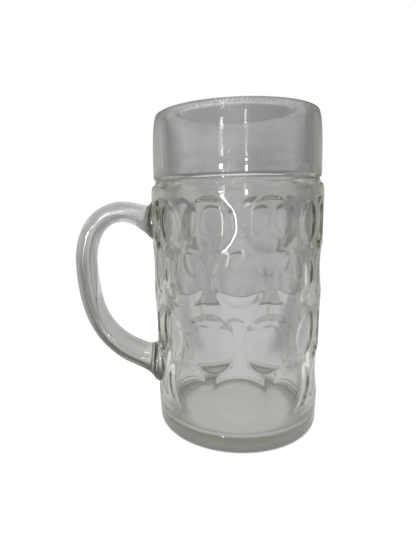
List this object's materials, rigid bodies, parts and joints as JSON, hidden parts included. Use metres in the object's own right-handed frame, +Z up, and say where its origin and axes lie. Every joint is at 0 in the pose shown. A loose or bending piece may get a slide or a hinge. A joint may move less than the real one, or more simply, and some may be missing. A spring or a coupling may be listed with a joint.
{
  "type": "beer mug",
  "caption": "Tall clear-glass beer mug with rows of round dimples, a plain collar, a thick base band and a glass loop handle.",
  "frame": {"origin": "on the mug's axis, in the plane of the flat foot that it stands on", "axes": "+Z up along the mug's axis, -X towards the handle, so the handle lies in the XZ plane"},
  "size_m": [0.1636, 0.11, 0.2],
  "materials": {
    "body_glass": "clear pressed glass with a faint grey-green tint, fire-polished",
    "handle_glass": "clear glass with a faint grey-green tint and fine cross ripples"
  },
  "bodies": {
    "root": {"mug_body": "body_glass", "handle": "handle_glass"}
  },
  "joints": []
}
